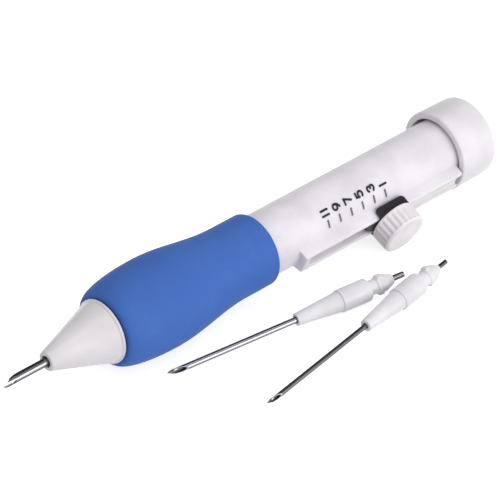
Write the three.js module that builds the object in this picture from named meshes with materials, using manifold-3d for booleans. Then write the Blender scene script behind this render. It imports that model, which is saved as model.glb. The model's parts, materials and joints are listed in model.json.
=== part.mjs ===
// A punch needle pen with adjustable loop height, lying on a table beside two spare needles.
// Millimetres, +Z up. The pen's needle points to -X, its side knob looks to -Y and its end cap is at +X.
// The origin is on the table, in the middle of the whole set.
import * as THREE from "three";
import { mergeVertices } from "three/addons/utils/BufferGeometryUtils.js";
import Module from "manifold-3d";

// Clearances
const FIT = 0.3; // between pieces that are pressed, clipped or screwed together
const RUN = 0.3; // between pieces that slide or turn on each other
const MOULD = 0.15; // between a needle's tube and the hub moulded round it
const CUT = 1; // how far a cutting tool reaches past the face that it opens

// Needles: a hollow steel tube moulded into a white hub with a two-lug bayonet
const HUB_FRONT = 36.7; // bare tube from its tip to the hub
const HUB_CONE_LENGTH = 12.7;
const HUB_BODY_LENGTH = 8.5;
const HUB_NECK_LENGTH = 2.2;
const HUB_HEAD_LENGTH = 2.6; // the thick part that carries the lugs
const HUB_TAIL_LENGTH = 2.4; // from the head down to the tube
const TUBE_TAIL_LENGTH = 3.4; // bare tube behind the hub
const HUB_FRONT_WALL = 0.35; // at the cone's thin end, round the coarse tube
const HUB_CONE_STEP = 0.3; // the body stands this far out of the cone's wide end
const HUB_BODY_RADIUS = 3;
const HUB_NECK_RADIUS = 1.95;
const HUB_HEAD_RADIUS = 2.25;
const HUB_TAIL_WALL = 0.35;
const HUB_EDGE = 0.5; // bevel at the body's rear edge
const LUG_RADIUS = 2.65; // reach of the two lugs from the axis
const LUG_SETBACK = 0.4; // from the head's front
const LUG_LENGTH = 1.5;
const LUG_WIDTH = 2.4;
const TUBE_WALL_SHARE = 0.22; // of the tube's radius, as drawn tube has
const BEVEL_LENGTHS = 3.4; // length of the slanted mouth, in tube diameters
const BEVEL_TIP_SHARE = 0.9; // the tip is this far out, as a share of the tube's radius
const POINT_LENGTHS = 1.2; // length of the tip's two side grinds, in tube diameters
const POINT_HALF = 0.04; // half the width left between them at the very tip
const EYE_PLACE = 1.6; // from the tip to the eye's middle, in tube diameters
const EYE_RADIUS_SHARE = 0.42; // of the tube's radius
const COARSE_RADIUS = 1.1; // the needle in the pen, 2.2 mm
const MEDIUM_RADIUS = 0.8; // spare, 1.6 mm
const FINE_RADIUS = 0.65; // spare, 1.3 mm
const PEN_MOUTH_TURN = -49; // degrees that the coarse tube is turned in its hub

// Carrier: the slide inside the barrel that holds the needle
const SOCKET_WALL = 1;
const SOCKET_REST = 1.2; // chamber left behind the hub's tail
const THREAD_CHANNEL_RADIUS = 1.6;
const CARRIER_TUBE_WALL = 1.4;
const COLLAR_LENGTH = 2.2;
const BLOCK_FLOOR = 0.7; // wall between the thread channel and the clamp nut
const BLOCK_WALL = 0.25; // round the corners of the nut's pocket
const BLOCK_SIDE = 1.1; // beside the pocket
const BLOCK_END = 2; // before and behind the pocket
const GUIDE_GAP = 1.6; // from the guide rib's end to the cap
const GUIDE_DROP = 0.25; // how far the rib stays below the rail's top

// Clamp: saddle, knob, stud and nut
const STUD_RADIUS = 1.5;
const NUT_SIDE = 5.5;
const NUT_THICKNESS = 1.6;
const KNOB_RADIUS = 6.2;
const KNOB_HEIGHT = 4.9;
const KNOB_EDGE = 0.5;
const KNOB_FLUTES = 24;
const FLUTE_DEPTH = 0.35;
const STUD_GRIP = 3.4; // the stud's length inside the knob
const SADDLE_LENGTH = 9.8;
const SADDLE_THICKNESS = 0.5;
const TONGUE_REACH = 8; // ahead of the knob's axis, in the slot
const TONGUE_DEPTH = 1.2; // below the rail's top

// Barrel
const NOSE_SPIGOT_WALL = 1.45;
const SEAT_WALL = 1.3; // barrel wall under the grip
const SEAT_STEP = 1; // the bare barrel stands this far out of the grip's seat
const RAIL_HEIGHT = 2.1;
const RAIL_LIP = 1.1; // each side of the slot
const RAIL_SPREAD = 0.6; // the rail's foot is wider on each side
const RAIL_END_WALL = 2.05; // in front of the slot
const RAIL_SETBACK = 7.5; // from the grip to the rail
const TRAVEL = 19.7; // from the shortest setting to the longest
const KNOB_TO_CAP = 25; // at the shortest setting

// Nose cone
const NEEDLE_REACH = 14.05; // bare needle in front of the nose at the shortest setting
const NOSE_LENGTH = 18.25;
const NOSE_TIP_RADIUS = 2.5;
const NOSE_TIP_EDGE = 0.4;
const NOSE_BASE_STEP = 0.2; // the cone's base stands this far out of the barrel
const NOSE_BASE_EDGE = 0.3;
const NOSE_BORE_GAP = 0.45; // round the coarse needle
const NOSE_BORE_LENGTH = 1.4;
const NOSE_SPIGOT_LENGTH = 8;

// Grip: the bulge is nearest the nose, the waist toward the rail
const GRIP_LENGTH = 49.5;
const GRIP_PLACE = 16; // from the grip's front to its thickest ring
const GRIP_FALL = 24.5; // from the thickest ring back to the waist
const GRIP_FRONT_WALL = 1.5;
const GRIP_BULGE_WALL = 4.5;
const GRIP_WAIST_WALL = 2.05;
const GRIP_EDGE = 1.1;

// End cap
const CAP_LENGTH = 12.2;
const CAP_WALL = 2.25;
const CAP_TAPER = 0.2;
const CAP_FLOOR = 2.2;
const CAP_FRONT_EDGE = 0.6;
const CAP_REAR_EDGE = 1.5;
const CAP_HOLE_RADIUS = 2.2;

// Spare needles on the table: where the tip lies from the pen's own tip, and the heading from +X
const MEDIUM_SPOT = { x: 42.4, y: -12.4, heading: -10.4, lugs: 165 };
const FINE_SPOT = { x: 53.3, y: -36.4, heading: 6.8, lugs: 155 };

// Facets
const ROUND = 48; // pen-sized rings
const SMALL_ROUND = 24; // needle-sized rings
const EDGE_STEPS = 3; // points of a rounded edge
const BULGE_STEPS = 8; // points of the grip's front swell
const FALL_STEPS = 8; // points of the grip's rear fall

// Radii, from the needle outward
const socketBore = LUG_RADIUS + RUN;
const socketRadius = Math.max(socketBore, THREAD_CHANNEL_RADIUS) + SOCKET_WALL;
const tubeRadius = THREAD_CHANNEL_RADIUS + CARRIER_TUBE_WALL;
const pocketInner = THREAD_CHANNEL_RADIUS + BLOCK_FLOOR;
const pocketOuter = pocketInner + NUT_THICKNESS + 2 * FIT;
const pocketHalf = NUT_SIDE / 2 + FIT;
const spigotBore = socketRadius + RUN;
const blockRadius = Math.hypot(pocketHalf, pocketOuter) + BLOCK_WALL;
const bore = Math.max(spigotBore + NOSE_SPIGOT_WALL + FIT, blockRadius + RUN);
const collarRadius = bore - RUN;
const spigotRadius = bore - FIT;
const seatRadius = bore + SEAT_WALL;
const barrelRadius = seatRadius + SEAT_STEP;
const railTop = barrelRadius + RAIL_HEIGHT;
const noseRadius = barrelRadius + NOSE_BASE_STEP;
const gripBore = seatRadius + FIT;
const gripPeakRadius = gripBore + GRIP_BULGE_WALL;
const capBore = barrelRadius + FIT;
const capRadius = capBore + CAP_WALL;
const saddleFoot = railTop + RUN;
const knobFoot = saddleFoot + SADDLE_THICKNESS + RUN;
const knobFace = knobFoot + KNOB_HEIGHT;
const slotWidth = 2 * (STUD_RADIUS + RUN);
const guideWidth = slotWidth - 2 * RUN;
const railHalf = slotWidth / 2 + RAIL_LIP;
const railFootHalf = railHalf + RAIL_SPREAD;
const hubFrontRadius = COARSE_RADIUS + MOULD + HUB_FRONT_WALL;

// Stations along the pen, from the needle's tip at the shortest setting
const coneBase = NEEDLE_REACH + NOSE_LENGTH;
const gripFront = coneBase + FIT;
const gripPeak = gripFront + GRIP_PLACE;
const gripRear = gripFront + GRIP_LENGTH;
const railFront = gripRear + RAIL_SETBACK;
const slotFront = railFront + RAIL_END_WALL;
const knobStation = slotFront + RUN + TONGUE_REACH + TRAVEL;
const capFront = knobStation + KNOB_TO_CAP;
const capRear = capFront + CAP_LENGTH;
const barrelRear = capRear - CAP_FLOOR - FIT;
const hubBody = HUB_FRONT + HUB_CONE_LENGTH;
const hubNeck = hubBody + HUB_BODY_LENGTH;
const hubHead = hubNeck + HUB_NECK_LENGTH;
const hubTail = hubHead + HUB_HEAD_LENGTH;
const hubRear = hubTail + HUB_TAIL_LENGTH;
const tubeRear = hubRear + TUBE_TAIL_LENGTH;
const socketFront = hubNeck + RUN;
const toothRear = hubHead - RUN;
const chamberRear = tubeRear + SOCKET_REST;
const blockFront = knobStation - pocketHalf - BLOCK_END;
const blockRear = knobStation + pocketHalf + BLOCK_END;
const guideRear = capFront - GUIDE_GAP;
const carrierRear = capRear - CAP_FLOOR - RUN;
const frontCollar = Math.max(socketFront, coneBase + NOSE_SPIGOT_LENGTH + RUN + TRAVEL);

const material = {
  whitePlastic: new THREE.MeshStandardMaterial({ color: 0xe9e6ea, roughness: 0.35, metalness: 0 }),
  bluePad: new THREE.MeshStandardMaterial({ color: 0x3f6cb8, roughness: 0.75, metalness: 0 }),
  naturalPlastic: new THREE.MeshStandardMaterial({ color: 0xe4dabe, roughness: 0.5, metalness: 0 }),
  darkPlastic: new THREE.MeshStandardMaterial({ color: 0x2c2b2f, roughness: 0.55, metalness: 0 }),
  needleSteel: new THREE.MeshStandardMaterial({ color: 0xc9ccd1, roughness: 0.18, metalness: 1 }),
  zincSteel: new THREE.MeshStandardMaterial({ color: 0xb4b7bb, roughness: 0.35, metalness: 1 }),
};

const wasm = await Module();
wasm.setup();

// A closed geometry as a solid that can be joined and cut.
function solid(geometry) {
  const bare = geometry.clone();
  bare.deleteAttribute("normal");
  bare.deleteAttribute("uv");
  const merged = mergeVertices(bare, 1e-4);
  return new wasm.Manifold(
    new wasm.Mesh({
      numProp: 3,
      vertProperties: merged.getAttribute("position").array,
      triVerts: new Uint32Array(merged.index.array),
    }),
  );
}

// The geometry of a finished solid.
function geometryOf(made) {
  const mesh = made.getMesh();
  const geometry = new THREE.BufferGeometry();
  geometry.setAttribute("position", new THREE.BufferAttribute(mesh.vertProperties, 3));
  geometry.setIndex(new THREE.BufferAttribute(mesh.triVerts, 1));
  geometry.computeVertexNormals();
  return geometry;
}

// A turned body round the X axis. Each point is [station, radius], the outside toward +X first.
function turned(points, segments) {
  const profile = points.map(([x, radius]) => new THREE.Vector2(radius, x));
  return new THREE.LatheGeometry(profile, segments).rotateZ(-Math.PI / 2);
}

// A turned ring: the outside toward +X, then the inside back to the start.
function ring(outside, inside, segments) {
  return turned([...outside, ...inside, outside[0]], segments);
}

// A plain rod on the X axis.
function rod(from, to, radius, segments) {
  return turned([[from, 0], [from, radius], [to, radius], [to, 0]], segments);
}

// Turns a body made along +X so that it points outward at the knob, which is -Y, at a station.
function outward(geometry, station) {
  return geometry.rotateZ(-Math.PI / 2).translate(station, 0, 0);
}

// A prism along X. Each point is [sideways, outward], with outward toward the knob.
function prism(points, from, to) {
  const shape = new THREE.Shape(points.map(([side, out]) => new THREE.Vector2(side, out)));
  const basis = new THREE.Matrix4().makeBasis(
    new THREE.Vector3(0, 0, 1),
    new THREE.Vector3(0, -1, 0),
    new THREE.Vector3(1, 0, 0),
  );
  return new THREE.ExtrudeGeometry(shape, { depth: to - from, bevelEnabled: false })
    .applyMatrix4(basis)
    .translate(from, 0, 0);
}

// A bar along X with a rectangular section, between two outward heights.
function bar(halfWidth, low, high, from, to) {
  return prism([[-halfWidth, low], [halfWidth, low], [halfWidth, high], [-halfWidth, high]], from, to);
}

// Points of a rounded edge, a smooth curve from one [station, radius] to the other.
// The corner is the point where the two faces would meet.
function roundedEdge(start, corner, end) {
  const curve = new THREE.QuadraticBezierCurve(
    new THREE.Vector2(...start),
    new THREE.Vector2(...corner),
    new THREE.Vector2(...end),
  );
  return curve.getPoints(EDGE_STEPS).map((point) => [point.x, point.y]);
}

// Nose cone: a straight hollow cone with a spigot that plugs into the barrel.
function noseCone() {
  const front = NEEDLE_REACH;
  const slope = (noseRadius - NOSE_TIP_RADIUS) / (NOSE_LENGTH - NOSE_BASE_EDGE);
  const needleBore = COARSE_RADIUS + NOSE_BORE_GAP;
  return ring(
    [
      ...roundedEdge(
        [front, NOSE_TIP_RADIUS - NOSE_TIP_EDGE],
        [front, NOSE_TIP_RADIUS],
        [front + NOSE_TIP_EDGE, NOSE_TIP_RADIUS + NOSE_TIP_EDGE * slope],
      ),
      [coneBase - NOSE_BASE_EDGE, noseRadius],
      [coneBase, noseRadius - NOSE_BASE_EDGE],
      [coneBase, spigotRadius],
      [coneBase + NOSE_SPIGOT_LENGTH, spigotRadius],
    ],
    [
      [coneBase + NOSE_SPIGOT_LENGTH, spigotBore],
      [coneBase, spigotBore],
      [front + NOSE_BORE_LENGTH, needleBore],
      [front, needleBore],
    ],
    ROUND,
  );
}

// Grip: a soft sleeve, swelling quickly behind the nose and falling slowly to a waist.
function gripSleeve() {
  const frontRadius = gripBore + GRIP_FRONT_WALL;
  const waistRadius = gripBore + GRIP_WAIST_WALL;
  const waist = Math.min(gripPeak + GRIP_FALL, gripRear - GRIP_EDGE);
  const swell = [];
  for (let i = 1; i <= BULGE_STEPS; i += 1) {
    const turn = (i / BULGE_STEPS) * (Math.PI / 2);
    swell.push([
      gripPeak - GRIP_PLACE * Math.cos(turn),
      frontRadius + (gripPeakRadius - frontRadius) * Math.sin(turn),
    ]);
  }
  const fall = [];
  for (let i = 1; i <= FALL_STEPS; i += 1) {
    const share = i / FALL_STEPS;
    const wave = (1 + Math.cos(share * Math.PI)) / 2;
    fall.push([
      gripPeak + (waist - gripPeak) * share,
      waistRadius + (gripPeakRadius - waistRadius) * wave,
    ]);
  }
  return ring(
    [
      [gripFront, frontRadius],
      ...swell,
      ...fall,
      ...roundedEdge(
        [gripRear - GRIP_EDGE, waistRadius],
        [gripRear, waistRadius],
        [gripRear, waistRadius - GRIP_EDGE],
      ).slice(1),
    ],
    [
      [gripRear, gripBore],
      [gripFront, gripBore],
    ],
    ROUND,
  );
}

// Barrel: a tube with a thin seat for the grip, a raised rail and a slot that is open at the rear.
function barrel() {
  const front = gripFront;
  const shoulder = gripRear + FIT;
  const outside = turned(
    [
      [front, 0],
      [front, seatRadius],
      [shoulder, seatRadius],
      [shoulder, barrelRadius],
      [barrelRear, barrelRadius],
      [barrelRear, 0],
    ],
    ROUND,
  );
  const rail = prism(
    [
      [-railFootHalf, bore],
      [railFootHalf, bore],
      [railHalf, railTop],
      [-railHalf, railTop],
    ],
    railFront,
    capFront - FIT,
  );
  const hollow = rod(front - CUT, barrelRear + CUT, bore, ROUND);
  const slot = bar(slotWidth / 2, bore / 2, railTop + CUT, slotFront, barrelRear + CUT);
  return geometryOf(solid(outside).add(solid(rail)).subtract(solid(hollow)).subtract(solid(slot)));
}

// End cap: a cup over the barrel's end, with a hole for the yarn in its floor.
function endCap() {
  const rearRadius = capRadius - CAP_TAPER;
  return ring(
    [
      ...roundedEdge(
        [capFront, capRadius - CAP_FRONT_EDGE],
        [capFront, capRadius],
        [capFront + CAP_FRONT_EDGE, capRadius],
      ),
      ...roundedEdge(
        [capRear - CAP_REAR_EDGE, rearRadius],
        [capRear, rearRadius],
        [capRear, rearRadius - CAP_REAR_EDGE],
      ),
    ],
    [
      [capRear, CAP_HOLE_RADIUS],
      [capRear - CAP_FLOOR, CAP_HOLE_RADIUS],
      [capRear - CAP_FLOOR, capBore],
      [capFront, capBore],
    ],
    ROUND,
  );
}

// Carrier: socket, thread channel, collars that run in the barrel, nut block and guide rib.
function needleCarrier() {
  const tube = turned(
    [
      [socketFront, 0],
      [socketFront, socketRadius],
      [blockRear, socketRadius],
      [blockRear, tubeRadius],
      [carrierRear, tubeRadius],
      [carrierRear, 0],
    ],
    SMALL_ROUND,
  );
  const collars = [frontCollar, carrierRear - COLLAR_LENGTH].map((start) =>
    solid(rod(start, start + COLLAR_LENGTH, collarRadius, ROUND)),
  );
  const block = solid(bar(pocketHalf + BLOCK_SIDE, 0, collarRadius, blockFront, blockRear)).intersect(
    solid(rod(blockFront, blockRear, collarRadius, ROUND)),
  );
  const guide = bar(guideWidth / 2, 0, railTop - GUIDE_DROP, blockRear, guideRear);
  const whole = collars.reduce((made, collar) => made.add(collar), solid(tube));
  return geometryOf(
    whole
      .add(block)
      .add(solid(guide))
      .subtract(solid(rod(socketFront - CUT, carrierRear + CUT, THREAD_CHANNEL_RADIUS, SMALL_ROUND)))
      .subtract(socketHollow())
      .subtract(solid(nutPocket()))
      .subtract(solid(studHole())),
  );
}

// The room for the hub's neck, lugs and tail, with a pair of teeth left standing at the neck.
function socketHollow() {
  const chamber = solid(rod(socketFront - CUT, chamberRear, socketBore, SMALL_ROUND));
  const toothGap = HUB_NECK_RADIUS + RUN;
  const teeth = [-1, 1].map((side) =>
    solid(
      new THREE.BoxGeometry(toothRear - socketFront, 2 * toothGap, socketBore).translate(
        (toothRear + socketFront) / 2,
        0,
        side * (toothGap + socketBore / 2),
      ),
    ),
  );
  return teeth.reduce((made, tooth) => made.subtract(tooth), chamber);
}

// The nut drops in from the side, under a lip that it is drawn against.
function nutPocket() {
  const open = pocketHalf + BLOCK_SIDE + CUT;
  return prism(
    [
      [-pocketHalf, pocketInner],
      [open, pocketInner],
      [open, pocketOuter],
      [-pocketHalf, pocketOuter],
    ],
    knobStation - pocketHalf,
    knobStation + pocketHalf,
  );
}

// The way through the block's lip for the stud.
function studHole() {
  return outward(rod(pocketInner, collarRadius + CUT, STUD_RADIUS + RUN, SMALL_ROUND), knobStation);
}

// Clamp nut: a square nut trapped in the carrier.
function clampNut() {
  const inner = pocketInner + FIT;
  const outer = inner + NUT_THICKNESS;
  const half = NUT_SIDE / 2;
  const plate = solid(bar(half, inner, outer, knobStation - half, knobStation + half));
  const hole = outward(rod(inner - CUT, outer + CUT, STUD_RADIUS + RUN, SMALL_ROUND), knobStation);
  return geometryOf(plate.subtract(solid(hole)));
}

// Stud: the threaded rod moulded into the knob.
function knobStud() {
  return outward(rod(pocketInner + FIT, knobFoot + STUD_GRIP, STUD_RADIUS, SMALL_ROUND), knobStation);
}

// Saddle: a dark bridge over the rail, with a tongue that runs in the slot ahead of the knob.
function saddlePlate() {
  const top = saddleFoot + SADDLE_THICKNESS;
  const slope = RAIL_SPREAD / (railTop - bore);
  const innerTop = railHalf + RUN;
  const outerTop = innerTop + SADDLE_THICKNESS;
  const legFoot = Math.sqrt(barrelRadius ** 2 - innerTop ** 2) + RUN;
  const spread = slope * (saddleFoot - legFoot);
  const bridge = prism(
    [
      [-innerTop, saddleFoot],
      [-innerTop - spread, legFoot],
      [-outerTop - spread, legFoot],
      [-outerTop, top],
      [outerTop, top],
      [outerTop + spread, legFoot],
      [innerTop + spread, legFoot],
      [innerTop, saddleFoot],
    ],
    knobStation - SADDLE_LENGTH / 2,
    knobStation + SADDLE_LENGTH / 2,
  );
  const tongue = bar(
    guideWidth / 2,
    railTop - TONGUE_DEPTH,
    saddleFoot + SADDLE_THICKNESS / 2,
    knobStation - TONGUE_REACH,
    knobStation + STUD_RADIUS + RUN + SADDLE_THICKNESS,
  );
  const hole = outward(rod(bore, knobFoot, STUD_RADIUS + RUN, SMALL_ROUND), knobStation);
  return geometryOf(solid(bridge).add(solid(tongue)).subtract(solid(hole)));
}

// Knob: a fluted wheel with a smooth bevelled face and a blind hole for the stud.
function thumbKnob() {
  const rim = [];
  for (let i = 0; i < KNOB_FLUTES; i += 1) {
    const start = (i / KNOB_FLUTES) * 2 * Math.PI;
    const step = (2 * Math.PI) / KNOB_FLUTES / 4;
    [KNOB_RADIUS, KNOB_RADIUS, KNOB_RADIUS - FLUTE_DEPTH, KNOB_RADIUS - FLUTE_DEPTH].forEach(
      (radius, corner) => {
        const turn = start + corner * step;
        rim.push(new THREE.Vector2(radius * Math.cos(turn), radius * Math.sin(turn)));
      },
    );
  }
  const wheel = new THREE.ExtrudeGeometry(new THREE.Shape(rim), {
    depth: KNOB_HEIGHT,
    bevelEnabled: false,
  })
    .rotateX(Math.PI / 2)
    .translate(knobStation, -knobFoot, 0);
  const bevelled = turned(
    [
      [knobFoot, 0],
      [knobFoot, KNOB_RADIUS + CUT],
      [knobFace - KNOB_EDGE - CUT, KNOB_RADIUS + CUT],
      [knobFace, KNOB_RADIUS - KNOB_EDGE],
      [knobFace, 0],
    ],
    ROUND,
  );
  const hole = rod(knobFoot - CUT, knobFoot + STUD_GRIP + FIT, STUD_RADIUS + FIT, SMALL_ROUND);
  return geometryOf(
    solid(wheel)
      .intersect(solid(outward(bevelled, knobStation)))
      .subtract(solid(outward(hole, knobStation))),
  );
}

// Needle tube: hollow, with a slanted mouth that opens to +Y, and on the other side an eye and a tip
// that is ground to a point from both sides.
function needleTube(radius) {
  const inner = radius * (1 - TUBE_WALL_SHARE);
  const bevel = BEVEL_LENGTHS * 2 * radius;
  const low = -radius * BEVEL_TIP_SHARE;
  const rise = radius - low;
  const wedge = new THREE.Shape([
    new THREE.Vector2(-bevel, low - rise),
    new THREE.Vector2(2 * bevel, low + 2 * rise),
    new THREE.Vector2(-bevel, low + 2 * rise),
  ]);
  const mouth = new THREE.ExtrudeGeometry(wedge, { depth: 4 * radius, bevelEnabled: false });
  mouth.translate(0, 0, -2 * radius);
  const point = POINT_LENGTHS * 2 * radius;
  const grinds = [-1, 1].map((sign) => {
    const edge = new THREE.Shape([
      new THREE.Vector2(-point, sign * (2 * POINT_HALF - radius)),
      new THREE.Vector2(2 * point, sign * (2 * radius - POINT_HALF)),
      new THREE.Vector2(-point, sign * (2 * radius - POINT_HALF)),
    ]);
    const cutter = new THREE.ExtrudeGeometry(edge, { depth: 2 * radius, bevelEnabled: false });
    return solid(cutter.rotateX(Math.PI / 2));
  });
  const eye = rod(0, radius + CUT, radius * EYE_RADIUS_SHARE, SMALL_ROUND);
  const tube = ring([[0, radius], [tubeRear, radius]], [[tubeRear, inner], [0, inner]], SMALL_ROUND);
  return geometryOf(
    solid(tube)
      .subtract(solid(mouth))
      .subtract(grinds[0])
      .subtract(grinds[1])
      .subtract(solid(outward(eye, EYE_PLACE * 2 * radius))),
  );
}

// Needle hub: cone, body, bayonet neck, and a head with two lugs to +Z and -Z.
function needleHub(radius) {
  const hubBore = radius + MOULD;
  const lugFront = hubHead + LUG_SETBACK;
  const body = turned(
    [
      [HUB_FRONT, 0],
      [HUB_FRONT, hubFrontRadius],
      [hubBody, HUB_BODY_RADIUS - HUB_CONE_STEP],
      [hubBody, HUB_BODY_RADIUS],
      [hubNeck - HUB_EDGE, HUB_BODY_RADIUS],
      [hubNeck, HUB_BODY_RADIUS - HUB_EDGE],
      [hubNeck, HUB_NECK_RADIUS],
      [hubHead, HUB_NECK_RADIUS],
      [hubHead, HUB_HEAD_RADIUS],
      [hubTail, HUB_HEAD_RADIUS],
      [hubRear, hubBore + HUB_TAIL_WALL],
      [hubRear, 0],
    ],
    SMALL_ROUND,
  );
  const lugs = solid(
    new THREE.BoxGeometry(LUG_LENGTH, LUG_WIDTH, 2 * LUG_RADIUS).translate(
      lugFront + LUG_LENGTH / 2,
      0,
      0,
    ),
  ).intersect(solid(rod(lugFront, lugFront + LUG_LENGTH, LUG_RADIUS, SMALL_ROUND)));
  return geometryOf(
    solid(body)
      .add(lugs)
      .subtract(solid(rod(HUB_FRONT - CUT, hubRear + CUT, hubBore, SMALL_ROUND))),
  );
}

function addMesh(group, name, geometry, finish) {
  const mesh = new THREE.Mesh(geometry, finish);
  mesh.name = name;
  group.add(mesh);
}

// A needle with its hub, in a group whose X axis is the needle's own.
function needle(prefix, radius, mouthTurn = 0) {
  const group = new THREE.Group();
  const tube = needleTube(radius).rotateX(THREE.MathUtils.degToRad(mouthTurn));
  addMesh(group, `${prefix}_tube`, tube, material.needleSteel);
  addMesh(group, `${prefix}_hub`, needleHub(radius), material.whitePlastic);
  return group;
}

// A spare needle rests on its tip and on the front edge of its hub's body.
function spareNeedle(prefix, radius, spot) {
  const made = needle(prefix, radius);
  made.rotation.x = THREE.MathUtils.degToRad(spot.lugs);
  const pitched = new THREE.Group().add(made);
  const rise = Math.atan2(HUB_BODY_RADIUS - radius, hubBody);
  pitched.rotation.y = -rise;
  pitched.position.z = radius * Math.cos(rise);
  const placed = new THREE.Group().add(pitched);
  placed.position.set(spot.x, spot.y, 0);
  placed.rotation.z = THREE.MathUtils.degToRad(spot.heading);
  return placed;
}

// The pen lies on its grip's thickest ring and on the cap, so its axis falls slightly toward the cap.
function penPitch() {
  const front = (gripPeakRadius - capRadius) / (capFront + CAP_FRONT_EDGE - gripPeak);
  const rear = (gripPeakRadius - capRadius + CAP_TAPER) / (capRear - CAP_REAR_EDGE - gripPeak);
  return Math.asin(Math.min(front, rear));
}

// The pen rolls until the rim of the knob meets the table too.
function penRoll(pitch) {
  const axisHeight = gripPeakRadius - (knobStation - gripPeak) * Math.sin(pitch);
  const rimOut = knobFace - KNOB_EDGE;
  return Math.asin(axisHeight / Math.hypot(rimOut, KNOB_RADIUS)) - Math.atan2(KNOB_RADIUS, rimOut);
}

function pen() {
  const group = needle("needle", COARSE_RADIUS, PEN_MOUTH_TURN);
  addMesh(group, "nose_cone", noseCone(), material.whitePlastic);
  addMesh(group, "grip_sleeve", gripSleeve(), material.bluePad);
  addMesh(group, "barrel", barrel(), material.whitePlastic);
  addMesh(group, "end_cap", endCap(), material.whitePlastic);
  addMesh(group, "needle_carrier", needleCarrier(), material.naturalPlastic);
  addMesh(group, "clamp_nut", clampNut(), material.zincSteel);
  addMesh(group, "knob_stud", knobStud(), material.zincSteel);
  addMesh(group, "saddle_plate", saddlePlate(), material.darkPlastic);
  addMesh(group, "thumb_knob", thumbKnob(), material.whitePlastic);
  const pitch = penPitch();
  group.rotation.x = penRoll(pitch);
  const pitched = new THREE.Group().add(group);
  pitched.rotation.y = pitch;
  pitched.position.z = gripPeakRadius + gripPeak * Math.sin(pitch);
  return pitched;
}

// Everything moves together until the set stands on the table with the origin under its middle.
const set = new THREE.Group();
set.add(
  pen(),
  spareNeedle("spare_medium", MEDIUM_RADIUS, MEDIUM_SPOT),
  spareNeedle("spare_fine", FINE_RADIUS, FINE_SPOT),
);
set.updateMatrixWorld(true);
const box = new THREE.Box3().setFromObject(set, true);
const middle = box.getCenter(new THREE.Vector3());
set.position.set(-middle.x, -middle.y, -box.min.z);

const punchNeedleSet = new THREE.Group();
punchNeedleSet.add(set);

export default punchNeedleSet;
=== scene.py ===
"""Looks of a punch needle pen with adjustable loop height, lying beside two spare needles.

Every shape is worked out in millimetres in the frame of what it belongs to: stations run along the
piece from the needle's tip, "side" points up the barrel and "out" points from the barrel to the knob.
A Seat then places those points in the row frame, in metres.
"""

import json
import logging
import math
from dataclasses import dataclass, field
from enum import Enum
from typing import Callable, Mapping, Optional, Sequence, Union

import bmesh
import bpy
import numpy as np
from mathutils import Matrix, Vector


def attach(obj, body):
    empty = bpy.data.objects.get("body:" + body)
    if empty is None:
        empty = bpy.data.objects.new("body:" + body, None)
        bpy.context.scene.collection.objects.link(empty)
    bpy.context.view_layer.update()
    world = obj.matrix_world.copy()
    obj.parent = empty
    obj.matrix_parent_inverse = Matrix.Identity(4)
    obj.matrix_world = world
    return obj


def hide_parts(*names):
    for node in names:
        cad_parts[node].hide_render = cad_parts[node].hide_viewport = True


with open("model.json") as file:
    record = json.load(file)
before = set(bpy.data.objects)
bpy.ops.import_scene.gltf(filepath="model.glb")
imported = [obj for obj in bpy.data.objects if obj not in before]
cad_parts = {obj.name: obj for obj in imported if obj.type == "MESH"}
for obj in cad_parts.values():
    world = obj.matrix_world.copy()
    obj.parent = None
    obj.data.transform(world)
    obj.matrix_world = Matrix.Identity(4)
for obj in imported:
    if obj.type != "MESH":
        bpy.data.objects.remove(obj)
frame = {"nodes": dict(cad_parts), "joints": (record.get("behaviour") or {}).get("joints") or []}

log = logging.getLogger("pen")

MM = 0.001
SEAT_ATTRIBUTE = "seat_mm"
TINY = 1e-9
MERGE_REACH = 1e-6
FLAT_REACH = 1e-7
STRAIGHT_HALF_ANGLE = 1.56
LONGEST_ARC_SHARE = 0.499
SHARP_ANGLE = 38.0


class Body(Enum):
    """The CAD bodies that pieces ride on."""

    PEN = "pen_body"
    CAP = "cap"
    CARRIER = "carrier"
    NEEDLE = "needle"
    KNOB = "knob"


class Slot(Enum):
    """The record's material slots."""

    WHITE = "white_plastic"
    BLUE = "blue_grip"
    NATURAL = "natural_plastic"
    DARK = "dark_plastic"
    STEEL = "needle_steel"
    ZINC = "zinc_steel"


class Pattern(Enum):
    """Where a finish reads its pattern from: the piece's own seat, or the row frame of a CAD node."""

    SEAT = "seat"
    OBJECT = "object"


# Placing and meshing


@dataclass(frozen=True)
class Seat:
    """Where something lies: an origin and three unit directions in the row frame, in metres."""

    origin: np.ndarray
    along: np.ndarray
    side: np.ndarray
    out: np.ndarray

    def place(self, points: np.ndarray) -> np.ndarray:
        """Points of (station, side, out) in millimetres, as points of the row frame in metres."""
        return self.origin + MM * points @ np.stack([self.along, self.side, self.out])

    def read(self, points: np.ndarray) -> np.ndarray:
        """Points of the row frame in metres, as (station, side, out) in millimetres."""
        return (points - self.origin) @ np.stack([self.along, self.side, self.out]).T / MM


def together(*parts: Union[np.ndarray, float]) -> np.ndarray:
    """Points whose coordinates are the parts, each of them spread to the same shape."""
    return np.stack(np.broadcast_arrays(*parts), -1)


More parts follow.
